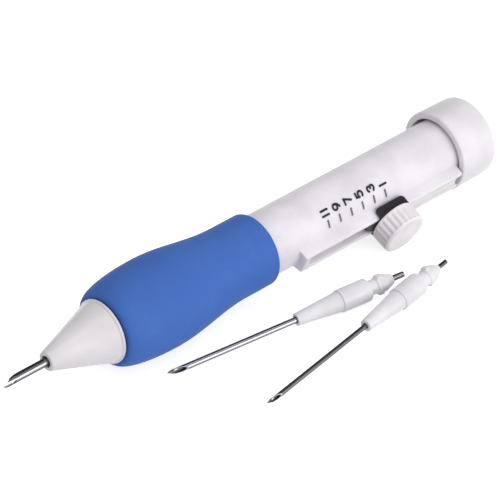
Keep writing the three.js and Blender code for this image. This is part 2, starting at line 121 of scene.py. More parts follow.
def softened(corners: Sequence[Sequence[float]], steps: int = 6) -> np.ndarray:
    """A profile whose corners are rounded by arcs that are tangent to both of their edges.

    An arc of radius r in a corner with half angle h starts r / tan(h) before the corner, and its
    middle lies r / sin(h) from the corner on the line that halves it.

    Args:
        corners: Points of (x, y, radius of the rounding), the radius being 0 for a sharp corner.
        steps: Segments of each arc.

    Returns:
        The points of the profile, one (x, y) a row.
    """
    spots = np.array([corner[:2] for corner in corners], float)
    made = [spots[0]]
    for before, corner, after, given in zip(spots, spots[1:], spots[2:], corners[1:]):
        radius = given[2] if len(given) > 2 else 0.0
        back, ahead = before - corner, after - corner
        back_length, ahead_length = np.linalg.norm(back), np.linalg.norm(ahead)
        if radius <= 0 or min(back_length, ahead_length) < TINY:
            made.append(corner)
            continue
        back, ahead = back / back_length, ahead / ahead_length
        half = 0.5 * math.acos(float(np.clip(back @ ahead, -1, 1)))
        if half > STRAIGHT_HALF_ANGLE:
            made.append(corner)
            continue
        reach = min(radius / math.tan(half), LONGEST_ARC_SHARE * min(back_length, ahead_length))
        radius = reach * math.tan(half)
        middle = corner + (back + ahead) / np.linalg.norm(back + ahead) * radius / math.sin(half)
        start, stop = corner + back * reach - middle, corner + ahead * reach - middle
        swing = math.pi - 2 * half
        share = np.linspace(0, 1, steps + 1)[:, None]
        arc = np.sin((1 - share) * swing) * start + np.sin(share * swing) * stop
        made.extend(middle + arc / math.sin(swing))
    made.append(spots[-1])
    return np.array(made)


def lathe(profile: np.ndarray, segments: int) -> np.ndarray:
    """A profile turned round the axis.

    The point at turn a of a profile point (station, radius) is (station, radius sin a, radius cos a).

    Args:
        profile: Points of (station, radius).
        segments: Points round the axis.

    Returns:
        A grid of points, a row for each profile point.
    """
    turn = np.linspace(0, 2 * math.pi, segments, endpoint=False)
    station, radius = profile[:, 0, None], profile[:, 1, None]
    return together(station, radius * np.sin(turn), radius * np.cos(turn))


def smooth_step(value: np.ndarray, low: float, high: float) -> np.ndarray:
    """0 below low and 1 above high, with the cubic 3t^2 - 2t^3 between them."""
    share = np.clip((value - low) / (high - low), 0, 1)
    return share * share * (3 - 2 * share)


class Shell:
    """Points and faces of one piece, gathered patch by patch."""

    def __init__(self, seat: Seat) -> None:
        """Starts an empty shell in a seat."""
        self.seat = seat
        self.blocks: list[np.ndarray] = []
        self.faces: list[np.ndarray] = []
        self.total = 0

    def points(self, grid: np.ndarray) -> np.ndarray:
        """Adds a grid of points and returns their numbers in the grid's own shape."""
        flat = grid.reshape(-1, 3)
        numbers = np.arange(self.total, self.total + len(flat)).reshape(grid.shape[:-1])
        self.blocks.append(flat)
        self.total += len(flat)
        return numbers

    def skin(
        self, numbers: np.ndarray, ring: bool = False, keep: Optional[np.ndarray] = None
    ) -> None:
        """Adds a face between every four neighbours of a grid of numbers.

        Args:
            numbers: The grid.
            ring: Joins the last column to the first.
            keep: For each cell of the grid, whether it gets a face.
        """
        if ring:
            numbers = np.concatenate([numbers, numbers[:, :1]], axis=1)
        cells = together(numbers[:-1, :-1], numbers[1:, :-1], numbers[1:, 1:], numbers[:-1, 1:])
        self.faces.append(cells.reshape(-1, 4) if keep is None else cells[keep])

    def sheet(self, grid: np.ndarray, ring: bool = False) -> np.ndarray:
        """Adds a grid of points with its faces and returns the numbers."""
        numbers = self.points(grid)
        self.skin(numbers, ring)
        return numbers

    def strip(self, first: np.ndarray, second: np.ndarray, ring: bool = False) -> None:
        """Adds the faces between two lines of numbers."""
        self.skin(np.stack([first, second]), ring=ring)

    def build(self, name: str, sharp: float = SHARP_ANGLE) -> bpy.types.Object:
        """Makes the Blender object: doubles merged, faces outwards, places in the seat as an attribute.

        Args:
            name: The object's name.
            sharp: Edges that turn by more degrees than this are shaded sharp.

        Returns:
            The object, with its place in its mesh.
        """
        mesh = bpy.data.meshes.new(name)
        places = self.seat.place(np.concatenate(self.blocks))
        mesh.from_pydata(places, [], np.concatenate(self.faces).tolist())
        work = bmesh.new()
        work.from_mesh(mesh)
        bmesh.ops.remove_doubles(work, verts=work.verts, dist=MERGE_REACH)
        bmesh.ops.dissolve_degenerate(work, edges=work.edges, dist=FLAT_REACH)
        bmesh.ops.recalc_face_normals(work, faces=work.faces)
        work.to_mesh(mesh)
        work.free()
        mesh.shade_smooth()
        mesh.set_sharp_from_angle(angle=math.radians(sharp))
        flat = np.empty(len(mesh.vertices) * 3, np.float32)
        mesh.vertices.foreach_get("co", flat)
        kept = mesh.attributes.new(SEAT_ATTRIBUTE, "FLOAT_VECTOR", "POINT")
        own = self.seat.read(flat.reshape(-1, 3).astype(float)).astype(np.float32)
        kept.data.foreach_set("vector", own.ravel())
        piece = bpy.data.objects.new(name, mesh)
        bpy.context.scene.collection.objects.link(piece)
        return piece


# Finishes


def linear(colour: Sequence[float]) -> tuple[float, float, float, float]:
    """A screen colour of 0 to 255 as a linear one with alpha 1."""
    share = np.array(colour, float) / 255
    low, high = share / 12.92, ((share + 0.055) / 1.055) ** 2.4
    red, green, blue = np.where(share <= 0.04045, low, high)
    return float(red), float(green), float(blue), 1.0


Value = Union["Wire", float, Sequence[float]]


def operator(operation: str, swapped: bool = False) -> Callable[..., "Wire"]:
    """A method of Wire that adds a Math node. When swapped, the other value comes first."""

    def method(wire: "Wire", other: Value = 0.0) -> "Wire":
        """Adds the node."""
        first, second = (other, wire) if swapped else (wire, other)
        return wire.graph.node("ShaderNodeMath", {"operation": operation}, {0: first, 1: second})

    return method


class Wire:
    """A value on its way through a material's nodes. The usual operators add Math nodes."""

    def __init__(self, graph: "Graph", socket: bpy.types.NodeSocket) -> None:
        """Wraps an output socket."""
        self.graph = graph
        self.socket = socket

    __add__, __radd__ = operator("ADD"), operator("ADD", True)
    __sub__, __rsub__ = operator("SUBTRACT"), operator("SUBTRACT", True)
    __mul__, __rmul__ = operator("MULTIPLY"), operator("MULTIPLY", True)
    __pow__, __rpow__ = operator("POWER"), operator("POWER", True)
    __abs__ = operator("ABSOLUTE")

    def over(self, low: float, high: float) -> "Wire":
        """0 below low and 1 above high, with a smooth step between them."""
        return self.graph.node(
            "ShaderNodeMapRange",
            {"interpolation_type": "SMOOTHSTEP", "clamp": True},
            {"Value": self, "From Min": low, "From Max": high},
        )


class Graph:
    """The node tree of one material, world or lamp."""

    def __init__(self, tree: bpy.types.NodeTree) -> None:
        """Empties the tree."""
        self.tree = tree
        tree.nodes.clear()

    def node(
        self,
        kind: str,
        settings: Optional[Mapping[str, object]] = None,
        values: Optional[Mapping[Union[str, int], Value]] = None,
        output: Union[str, int] = 0,
    ) -> Wire:
        """Adds a node.

        Args:
            kind: The node's type.
            settings: Its settings, which are set first.
            values: Values or links of its sockets, by name or number.
            output: The output that is wanted.

        Returns:
            That output.
        """
        made = self.tree.nodes.new(kind)
        for key, setting in (settings or {}).items():
            setattr(made, key, setting)
        for key, value in (values or {}).items():
            if isinstance(value, Wire):
                self.tree.links.new(value.socket, made.inputs[key])
            else:
                made.inputs[key].default_value = value
        return Wire(self, made.outputs[output]) if made.outputs else Wire(self, None)

    def mix(self, factor: Value, first: Value, second: Value) -> Wire:
        """A colour from first, at factor 0, to second, at factor 1."""
        return self.node(
            "ShaderNodeMix", {"data_type": "RGBA"}, {0: factor, 6: first, 7: second}, 2
        )

    def noise(self, place: Wire, scale: float, detail: float = 2.0, rough: float = 0.5) -> Wire:
        """Cloudy noise from 0 to 1."""
        return self.node(
            "ShaderNodeTexNoise",
            {"noise_dimensions": "3D"},
            {"Vector": place, "Scale": scale, "Detail": detail, "Roughness": rough},
        )

    def cells(self, place: Wire, scale: float, feature: str = "F1") -> Wire:
        """The distance to the middle of the nearest of many cells."""
        values = {"Vector": place, "Scale": scale}
        return self.node("ShaderNodeTexVoronoi", {"feature": feature}, values, "Distance")

    def ray(self, kind: str) -> Wire:
        """1 for light rays of a kind and 0 for all others."""
        return self.node("ShaderNodeLightPath", None, None, f"Is {kind} Ray")

    def stretched(self, place: Wire, scale: Sequence[float]) -> Wire:
        """A place with each direction multiplied by its own number."""
        return self.node("ShaderNodeVectorMath", {"operation": "MULTIPLY"}, {0: place, 1: scale})

    def part(self, place: Wire, axis: str) -> Wire:
        """One of X, Y and Z of a place."""
        return self.node("ShaderNodeSeparateXYZ", None, {0: place}, axis)

    def bump(self, height: Wire, depth: float, strength: float = 1.0) -> Wire:
        """The normal of a surface that stands up by height times depth, in metres."""
        return self.node(
            "ShaderNodeBump", None, {"Strength": strength, "Distance": depth, "Height": height}
        )


@dataclass(frozen=True)
class Finish:
    """A finish of one of the record's slots. Its subclasses say how the surface varies."""

    name: str
    slot: Slot
    colour: tuple[float, float, float]
    roughness: float

    def place(self, graph: Graph, pattern: Pattern) -> Wire:
        """The place that the pattern follows, in millimetres."""
        if pattern is Pattern.SEAT:
            return graph.node(
                "ShaderNodeAttribute",
                {"attribute_type": "GEOMETRY", "attribute_name": SEAT_ATTRIBUTE},
                None,
                "Vector",
            )
        return graph.stretched(graph.node("ShaderNodeTexCoord", None, None, "Object"), (1000,) * 3)

    def surface(self, graph: Graph, place: Wire) -> Mapping[str, Value]:
        """The values of the shader's sockets."""
        raise NotImplementedError

    def material(self, pattern: Pattern = Pattern.SEAT) -> bpy.types.Material:
        """The Blender material, made at its first use.

        Args:
            pattern: Where its pattern is read from.

        Returns:
            The material.
        """
        name = f"{self.name}_{pattern.value}"
        if name in bpy.data.materials:
            return bpy.data.materials[name]
        made = bpy.data.materials.new(name)
        made.use_nodes = True
        made.diffuse_color = linear(self.colour)
        graph = Graph(made.node_tree)
        shader = graph.node(
            "ShaderNodeBsdfPrincipled", None, self.surface(graph, self.place(graph, pattern))
        )
        graph.node("ShaderNodeOutputMaterial", None, {"Surface": shader})
        return made


@dataclass(frozen=True)
class MouldedPlastic(Finish):
    """Injection moulded plastic: a faint clouding, an orange-peel skin and small gloss changes."""

    cloud: float = 0.05
    peel: float = 0.012
    peel_scale: float = 1.1
    subsurface: float = 0.0
    depth: float = 1.0
    seam: bool = False

    def surface(self, graph: Graph, place: Wire) -> Mapping[str, Value]:
        """Clouds the colour and the gloss, and raises the skin and the mould's parting line."""
        wide = graph.noise(place, 0.11, 3)
        fine = graph.noise(place, self.peel_scale, 2)
        grain = graph.noise(place, 9.0, 2)
        base = linear(self.colour)
        deep = linear([level * (1 - self.cloud) for level in self.colour])
        height = fine * 0.8 + grain * 0.2
        if self.seam:
            off = abs(graph.part(place, "Z")).over(0.0, 0.09)
            height = height + (1 - off) * 1.4
        return {
            "Base Color": graph.mix(wide.over(0.3, 0.7), base, deep),
            "Roughness": self.roughness + (wide - 0.5) * 0.1 + (grain - 0.5) * 0.05,
            "Normal": graph.bump(height, self.peel * MM),
            "IOR": 1.49,
            "Subsurface Weight": self.subsurface,
            "Subsurface Radius": (1.0, 0.9, 0.85),
            "Subsurface Scale": self.depth * MM,
        }


@dataclass(frozen=True)
class SoftRubber(Finish):
    """Soft grip foam skin: matt, with fine pores and paler rubbed places."""

    rub: tuple[float, float, float] = (76, 122, 194)

    def surface(self, graph: Graph, place: Wire) -> Mapping[str, Value]:
        """Mixes a rubbed tone in broad clouds and sinks fine pores."""
        wide = graph.noise(place, 0.09, 3, 0.55)
        middle = graph.noise(place, 0.8, 3)
        pores = graph.cells(place, 3.2)
        rubbed = (wide * 0.7 + middle * 0.3).over(0.35, 0.75)
        tone = graph.mix(rubbed, linear(self.colour), linear(self.rub))
        return {
            "Base Color": graph.mix(0.35, linear(self.colour), tone),
            "Roughness": self.roughness + (middle - 0.5) * 0.12,
            "Normal": graph.bump(pores.over(0.0, 0.45) * 0.6 + middle * 0.4, 0.02 * MM, 0.7),
            "IOR": 1.45,
            "Specular IOR Level": 0.2,
        }


@dataclass(frozen=True)
class DrawnSteel(Finish):
    """Bright plated tube: fine streaks along it, left by drawing and polishing.

    The plate's colour is darkened toward grazing angles: painted dark reflection along the tube's
    edges. Inside the tube the plate is darker and rougher.
    """

    bore: float = 0.86
    # Painted dark reflection: the colour that the plate is darkened to at grazing angles.
    edge: tuple[float, float, float] = (84, 83, 86)
    inside: tuple[float, float, float] = (104, 103, 107)

    def surface(self, graph: Graph, place: Wire) -> Mapping[str, Value]:
        """Streaks run along the station, so the noise is squeezed across it."""
        streaks = graph.noise(graph.stretched(place, (0.12, 5.0, 5.0)), 1.6, 3)
        cloud = graph.noise(place, 0.35, 2)
        dull = linear([level * 0.86 for level in self.colour])
        plate = graph.mix(streaks.over(0.35, 0.7), linear(self.colour), dull)
        # Painted dark reflection: the plate's colour darkens toward the grazing edges of the tube.
        facing = graph.node("ShaderNodeLayerWeight", None, {"Blend": 0.5}, "Facing")
        plate = graph.mix(facing.over(0.14, 0.46), plate, linear(self.edge))
        reach = (graph.part(place, "Y") ** 2 + graph.part(place, "Z") ** 2) ** 0.5
        inner = 1 - reach.over(self.bore * 0.99, self.bore * 1.08)
        return {
            "Base Color": graph.mix(inner, plate, linear(self.inside)),
            "Metallic": 1.0,
            "Roughness": self.roughness + inner * 0.3 + (streaks - 0.5) * 0.1 + (cloud - 0.5) * 0.06,
            "Normal": graph.bump(streaks, 0.004 * MM, 0.6),
        }


@dataclass(frozen=True)
class ZincPlate(Finish):
    """Zinc-plated steel: a greyish metal with a faint crystalline clouding."""

    def surface(self, graph: Graph, place: Wire) -> Mapping[str, Value]:
        """Cells of plating change the tone and the gloss."""
        cells = graph.cells(place, 1.4, "SMOOTH_F1")
        base = linear(self.colour)
        dull = linear([level * 0.82 for level in self.colour])
        return {
            "Base Color": graph.mix(cells.over(0.1, 0.8), base, dull),
            "Metallic": 1.0,
            "Roughness": self.roughness + (cells - 0.4) * 0.15,
            "Normal": graph.bump(cells, 0.01 * MM, 0.5),
        }


WHITE_MOULDING = MouldedPlastic("white_moulding", Slot.WHITE, (233, 229, 234), 0.4, subsurface=0.2)
BARREL_MOULDING = MouldedPlastic(
    "barrel_moulding", Slot.WHITE, (233, 228, 235), 0.44, subsurface=0.8, depth=1.6, seam=True
)
NOSE_MOULDING = MouldedPlastic("nose_moulding", Slot.WHITE, (231, 227, 231), 0.27, subsurface=0.2)
HUB_MOULDING = MouldedPlastic("hub_moulding", Slot.WHITE, (232, 229, 234), 0.36, subsurface=0.2)
KNOB_MOULDING = MouldedPlastic("knob_moulding", Slot.WHITE, (234, 229, 233), 0.4, subsurface=0.2)
BLUE_SKIN = SoftRubber("blue_skin", Slot.BLUE, (63, 103, 182), 0.6)
NATURAL_NYLON = MouldedPlastic(
    "natural_nylon", Slot.NATURAL, (231, 229, 224), 0.42, cloud=0.06, subsurface=0.3
)
BLACK_MOULDING = MouldedPlastic(
    "black_moulding", Slot.DARK, (40, 39, 43), 0.46, cloud=0.2, peel=0.02, peel_scale=2.2
)
PRINTED_INK = MouldedPlastic("printed_ink", Slot.DARK, (30, 28, 32), 0.5, cloud=0.25, peel=0.004)
GREY_INK = MouldedPlastic("grey_ink", Slot.DARK, (112, 108, 116), 0.5, cloud=0.2, peel=0.004)
NEEDLE_PLATE = DrawnSteel("needle_plate", Slot.STEEL, (188, 188, 192), 0.2)
MEDIUM_PLATE = DrawnSteel("medium_plate", Slot.STEEL, (182, 182, 186), 0.18, bore=0.624)
# The fine needle's plate is darker than the others: a painted dark reflection. It is rougher too.
FINE_PLATE = DrawnSteel("fine_plate", Slot.STEEL, (158, 157, 161), 0.26, bore=0.507)
ZINC_PLATE = ZincPlate("zinc_plate", Slot.ZINC, (180, 183, 187), 0.34)


@dataclass
class SubAssembly:
    """Something that is built of pieces in one seat."""

    seat: Seat

    def hand_over(self, piece: bpy.types.Object, body: Body, finish: Finish, *nodes: str) -> None:
        """Dresses a finished piece, puts it on its body and hides the CAD nodes that it replaces.

        Args:
            piece: The piece.
            body: The body that it rides on.
            finish: Its finish.
            nodes: The CAD nodes that it replaces.
        """
        piece.data.materials.append(finish.material())
        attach(piece, body.value)
        if nodes:
            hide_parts(*nodes)
        log.info("%s: %d faces on %s", piece.name, len(piece.data.polygons), body.value)

    def closed(self, grid: np.ndarray, name: str, sharp: float = SHARP_ANGLE) -> bpy.types.Object:
        """A piece whose surface is one grid, joined round the turn, with edges sharp above an angle."""
        shell = Shell(self.seat)
        shell.sheet(grid, ring=True)
        return shell.build(name, sharp)


# The pen's pieces


@dataclass
class Barrel(SubAssembly):
    """The tube with its grip seat, its raised rail and the slot that is open at the rear."""

    front: float = 32.6
    shoulder: float = 82.4
    rail_front: float = 89.6
    slot_front: float = 91.65
    rail_rear: float = 144.35
    rear: float = 154.35
    bore: float = 6.0
    seat_radius: float = 7.3
    radius: float = 8.3
    rail_top: float = 10.4
    rail_half: float = 2.9
    rail_foot_half: float = 3.5
    slot_half: float = 1.8
    lip_edge: float = 0.35
    rail_edge: float = 0.6
    rail_fillet: float = 1.0
    rail_bow: float = 0.35
    rail_ramp: float = 0.3
    end_edge: float = 0.3
    shoulder_edge: float = 0.2
    around: int = 64

    def half_section(self, lip_edge: float) -> np.ndarray:
        """The rail's outline from the middle of its top to the barrel's far side, on the up side.

        The top is flat, its edge an arc, its flank a straight line to the bore's height, and a hollow
        arc joins the flank to the circle of the barrel.

        Args:
            lip_edge: Radius at the slot's edge.

        Returns:
            Points of (side, out).
        """
        middle = together(np.linspace(0, self.slot_half, 4)[:-1], self.rail_top)
        turn = np.linspace(0, math.pi / 2, 4)
        lip = together(
            self.slot_half + self.lip_edge * (1 - np.cos(turn)),
            self.rail_top - lip_edge * (1 - np.sin(turn)),
        )
        slope = (self.rail_foot_half - self.rail_half) / (self.rail_top - self.bore)
        heights = np.linspace(self.radius, self.bore, 4000)
        flank_side = self.rail_half + slope * (self.rail_top - heights)
        foot = int(np.argmin(np.abs(np.hypot(flank_side, heights) - self.radius)))
        foot_turn = math.atan2(flank_side[foot], heights[foot])
        onward = foot_turn + 0.2
        corners = [
            (self.slot_half + self.lip_edge, self.rail_top, 0),
            (self.rail_half, self.rail_top, self.rail_edge),
            (flank_side[foot], heights[foot], self.rail_fillet),
            (self.radius * math.sin(onward), self.radius * math.cos(onward), 0),
        ]
        flank = softened(corners, 7)[1:]
        last = math.atan2(flank[-1][0], flank[-1][1])
        round_turn = np.linspace(last, math.pi, self.around)[1:]
        circle = self.radius * together(np.sin(round_turn), np.cos(round_turn))
        return np.concatenate([middle, lip, flank, circle])

    def outlines(self) -> tuple[np.ndarray, np.ndarray, np.ndarray, np.ndarray]:
        """The whole section's lines, all with the same columns.

        Returns:
            The rail's line with a sharp slot edge, the same with a rounded one, the bore's line, and
            whether each column lies over the slot.
        """
        halves = [self.half_section(lip) for lip in (0.0, self.lip_edge)]
        plain, lipped = (np.concatenate([half, half[1:-1][::-1] * [-1, 1]]) for half in halves)
        side, out = halves[0].T
        flank_turn = np.arctan2(side, out)
        knee = int(np.argmax(side > self.rail_half - MERGE_REACH))
        edge_turn = math.asin(self.rail_half / self.bore)
        start = flank_turn[knee]
        turns = edge_turn + (flank_turn - start) * (math.pi - edge_turn) / (math.pi - start)
        under_rail = np.arcsin(np.where(side <= self.rail_half, side, 0) / self.bore)
        inner_turn = np.where(np.arange(len(side)) < knee, under_rail, turns)
        inner_turn = np.concatenate([inner_turn, -inner_turn[1:-1][::-1]])
        bore = self.bore * together(np.sin(inner_turn), np.cos(inner_turn))
        over_slot = (np.abs(plain[:, 0]) < self.slot_half + MERGE_REACH) & (plain[:, 1] > 0)
        return plain, lipped, bore, over_slot

    def rows(self) -> list[tuple[float, float, float, bool]]:
        """Rows along the barrel: station, radius, how far the rail has risen, and slot or not."""
        rise = [(0.0, -0.6), (0.02, -0.3), (0.08, -0.1), (0.2, 0.0)]
        made = [
            (self.front, self.seat_radius - self.end_edge, 0.0, False),
            (self.front + self.end_edge, self.seat_radius, 0.0, False),
            (self.shoulder, self.seat_radius, 0.0, False),
            (self.shoulder, self.radius - self.shoulder_edge, 0.0, False),
            (self.shoulder + 0.3 * self.shoulder_edge, self.radius - 0.3 * self.shoulder_edge, 0.0, False),
            (self.shoulder + self.shoulder_edge, self.radius, 0.0, False),
        ]
        made += [(self.rail_front + shift, self.radius, lift, False) for lift, shift in rise]
        for turn in np.linspace(0, math.pi / 2, 10)[1:]:
            lift = 0.2 + 0.8 * math.sin(turn)
            ahead = self.rail_ramp * (1 - math.cos(turn))
            made.append((self.rail_front + ahead, self.radius, lift, False))
        made.append((self.slot_front, self.radius, 1.0, False))
        made.append((self.slot_front, self.radius, 1.0, True))
        along_slot = np.linspace(self.slot_front + 5, self.rail_rear - 5, 9)
        made += [(station, self.radius, 1.0, True) for station in along_slot]
        made += [
            (self.rail_rear - 0.2, self.radius, 1.0, True),
            (self.rail_rear, self.radius, 0.9, True),
            (self.rail_rear, self.radius, 0.0, True),
            (self.rear - self.end_edge, self.radius, 0.0, True),
            (self.rear, self.radius - self.end_edge, 0.0, True),
        ]
        return made

    def build(self) -> None:
        """Builds the barrel.

        A row's point is its place on the plain circle plus the share of the way up to the rail's line.
        Over the rail, the circle's point has the same side as the rail's, so the slot's walls are flat.
        """
        plain, lipped, bore, over_slot = self.outlines()
        outer_rows, inner_rows, open_rows = [], [], []
        for station, radius, lift, open_slot in self.rows():
            line = lipped if open_slot else plain
            high = line[:, 1] > 0
            narrow = high & (np.abs(line[:, 0]) < self.rail_foot_half + 0.6)
            scaled = line * radius / self.radius
            out = np.where(narrow, np.sqrt(np.maximum(radius**2 - line[:, 0] ** 2, 0)), scaled[:, 1])
            side = np.where(narrow, line[:, 0], scaled[:, 0])
            circle = together(side, out)
            mixed = circle + lift * (line - circle)
            bow = self.rail_bow * np.maximum(1 - (line[:, 0] / self.rail_half) ** 2, 0) * high
            bow = bow * (self.rail_front - 0.7 < station < self.slot_front - 0.01)
            outer_rows.append(np.column_stack([station + bow, mixed]))
            inner_rows.append(np.column_stack([np.full(len(line), station), bore]))
            open_rows.append(open_slot)
        shell = Shell(self.seat)
        outer = shell.points(np.array(outer_rows))
        inner = shell.points(np.array(inner_rows))
        open_now = np.array(open_rows)
        cell_open = open_now[:-1] & open_now[1:]
        beyond = np.roll(over_slot, -1)
        slot_cell = over_slot & beyond
        keep = ~(cell_open[:, None] & slot_cell[None, :])
        shell.skin(outer, ring=True, keep=keep)
        shell.skin(inner, ring=True, keep=keep)
        shell.strip(outer[0], inner[0], ring=True)
        wrapped = np.arange(len(over_slot) + 1) % len(over_slot)
        last_outer, last_inner = outer[-1][wrapped], inner[-1][wrapped]
        shell.skin(np.stack([last_outer, last_inner]), keep=~slot_cell[None, :])
        first_open = int(np.argmax(open_now))
        shell.skin(
            np.stack([outer[first_open][wrapped], inner[first_open][wrapped]]),
            keep=slot_cell[None, :],
        )
        edges = [
            int(np.nonzero(over_slot & ~beyond)[0][0]),
            int(np.nonzero(~over_slot & beyond)[0][0] + 1) % len(over_slot),
        ]
        for edge in edges:
            shell.strip(outer[first_open:, edge], inner[first_open:, edge])
        self.hand_over(shell.build("barrel_shell"), Body.PEN, BARREL_MOULDING, "barrel")


@dataclass
class NoseCone(SubAssembly):
    """The hollow cone at the front and the spigot that plugs into the barrel."""

    front: float = 14.05
    length: float = 18.25
    tip_radius: float = 2.5
    tip_edge: float = 0.42
    base_radius: float = 8.5
    base_edge: float = 0.3
    land_length: float = 0.75
    land_slope: float = 0.2
    land_step: float = 0.38
    needle_bore: float = 1.55
    needle_bore_length: float = 1.4
    spigot_radius: float = 5.7
    spigot_bore: float = 4.25
    spigot_length: float = 8.0

    def build(self) -> None:
        """Builds the cone as one turned profile."""
        base = self.front + self.length
        profile = softened(
            [
                (self.front + self.needle_bore_length, self.needle_bore),
                (self.front, self.needle_bore, 0.12),
                (self.front, self.tip_radius, self.tip_edge),
                (base - self.land_length - self.land_slope, self.base_radius - self.land_step, 0.2),
                (base - self.land_length, self.base_radius, 0.12),
                (base - self.land_slope, self.base_radius, 0.12),
                (base, self.base_radius - self.base_edge, 0.08),
                (base, self.spigot_radius, 0.1),
                (base + self.spigot_length, self.spigot_radius, 0.4),
                (base + self.spigot_length, self.spigot_bore, 0.2),
                (base, self.spigot_bore, 1.0),
                (self.front + self.needle_bore_length, self.needle_bore),
            ]
        )
        piece = self.closed(lathe(profile, 144), "nose_shell")
        self.hand_over(piece, Body.PEN, NOSE_MOULDING, "nose_cone")


@dataclass
class GripSleeve(SubAssembly):
    """The soft sleeve: a quick swell behind the nose and a slow fall to the waist."""

    front: float = 32.6
    length: float = 49.5
    peak_place: float = 16.0
    fall_length: float = 24.5
    bore: float = 7.6
    front_radius: float = 9.1
    peak_radius: float = 12.1
    waist_radius: float = 9.65
    edge: float = 1.1

    def build(self) -> None:
        """Builds the sleeve.

        The swell is a quarter of an ellipse, and the fall is half a cosine wave.
        """
        peak = self.front + self.peak_place
        rear = self.front + self.length
        swell_turn = np.linspace(0.12, math.pi / 2, 28)
        swell = together(
            peak - self.peak_place * np.cos(swell_turn),
            self.front_radius + (self.peak_radius - self.front_radius) * np.sin(swell_turn),
        )
        share = np.linspace(0, 1, 36)[1:]
        wave = (1 + np.cos(share * math.pi)) / 2
        fall = together(
            peak + self.fall_length * share,
            self.waist_radius + (self.peak_radius - self.waist_radius) * wave,
        )
        inner = (self.front, self.bore)
        front_edge = softened([inner, (self.front, self.front_radius - 0.05, 0.35), tuple(swell[0])], 8)
        inner = (rear, self.bore)
        rear_edge = softened([tuple(fall[-1]), (rear, self.waist_radius, self.edge), inner], 10)
        profile = np.concatenate([front_edge, swell[1:], fall, rear_edge[1:], front_edge[:1]])
        piece = self.closed(lathe(profile, 192), "grip_skin", 50)
        self.hand_over(piece, Body.PEN, BLUE_SKIN, "grip_sleeve")


@dataclass
class EndCap(SubAssembly):
    """The cup over the barrel's end."""

    front: float = 144.65
    length: float = 12.2
    bore: float = 8.6
    radius: float = 10.85
    taper: float = 0.2
    floor: float = 2.2
    front_edge: float = 0.6
    rear_edge: float = 1.5
    hole: float = 2.2
    face_wall: float = 1.2
    lead_length: float = 4.4
    lead_play: float = 0.5
    ring_depth: float = 0.35
    ring_inner: float = 0.5
    ring_outer: float = 3.4

    def build(self) -> None:
        """Builds the cup as one turned profile, with a shallow ring sunk into its rear.

        The bore is a little wider for a way behind the front, so a dark gap shows round the barrel.
        """
        rear = self.front + self.length
        profile = softened(
            [
                (self.front, self.bore + self.face_wall),
                (self.front, self.radius, self.front_edge),
                (rear, self.radius - self.taper, self.rear_edge),
                (rear, self.hole + self.ring_outer, 0.15),
                (rear - self.ring_depth, self.hole + self.ring_outer - 0.3, 0.15),
                (rear - self.ring_depth, self.hole + self.ring_inner + 0.4, 0.2),
                (rear, self.hole + self.ring_inner, 0.15),
                (rear, self.hole, 0.35),
                (rear - self.floor, self.hole, 0.2),
                (rear - self.floor, self.bore, 0.4),
                (self.front + self.lead_length + 0.4, self.bore, 0.1),
                (self.front + self.lead_length, self.bore + self.lead_play - 0.05, 0.1),
                (self.front, self.bore + self.lead_play, 0.12),
                (self.front, self.bore + self.face_wall),
            ],
            7,
        )
        piece = self.closed(lathe(profile, 160), "cap_shell")
        self.hand_over(piece, Body.CAP, WHITE_MOULDING, "end_cap")


@dataclass
class ThumbKnob(SubAssembly):
    """The fluted wheel on the side. Its own axis is the out direction through its station."""

    station: float = 119.65
    foot: float = 11.0
    height: float = 5.4
    radius: float = 6.2
    edge: float = 0.5
    flutes: int = 24
    flute_depth: float = 0.36
    hole: float = 1.8
    hole_depth: float = 3.7
    dish: float = 0.22

    def build(self) -> None:
        """Builds the wheel.

        Its profile is turned round the out direction. A groove lowers the radius by the flute's depth
        times a raised cosine of the turn, and fades out before the smooth rings at both edges.
        """
        face = self.foot + self.height
        profile = softened(
            [
                (0, self.foot + self.hole_depth, 0),
                (self.hole, self.foot + self.hole_depth, 0.1),
                (self.hole, self.foot, 0.15),
                (self.radius, self.foot, 0.18),
                *[(self.radius, self.foot + above) for above in (0.5, 0.56, 0.7, 0.85, 2.2)],
                *[(self.radius, face - self.edge - below) for below in (0.9, 0.5, 0.2)],
                (self.radius, face - self.edge, 0.25),
                (self.radius - self.edge, face, 0.5),
                (self.radius - 1.3, face, 0.6),
                (self.radius - 2.3, face - self.dish, 2.2),
                (0.35, face - self.dish, 0.1),
                (0.3, face - self.dish + 0.07, 0.05),
                (0, face - self.dish + 0.08, 0),
            ],
            5,
        )
        turn = np.linspace(0, 2 * math.pi, self.flutes * 14, endpoint=False)
        radius, height = profile[:, 0, None], profile[:, 1, None]
        groove = (0.5 + 0.5 * np.cos(self.flutes * turn)) ** 1.35
        fluted = smooth_step(height, self.foot + 0.5, self.foot + 0.85)
        fluted = fluted * (1 - smooth_step(height, face - self.edge - 0.55, face - self.edge + 0.12))
        fluted = fluted * (radius > self.radius - 0.4)
        radius = radius - self.flute_depth * groove * fluted
        grid = together(self.station + radius * np.cos(turn), radius * np.sin(turn), height)
        piece = self.closed(grid, "knob_wheel", 50)
        self.hand_over(piece, Body.KNOB, KNOB_MOULDING, "thumb_knob")


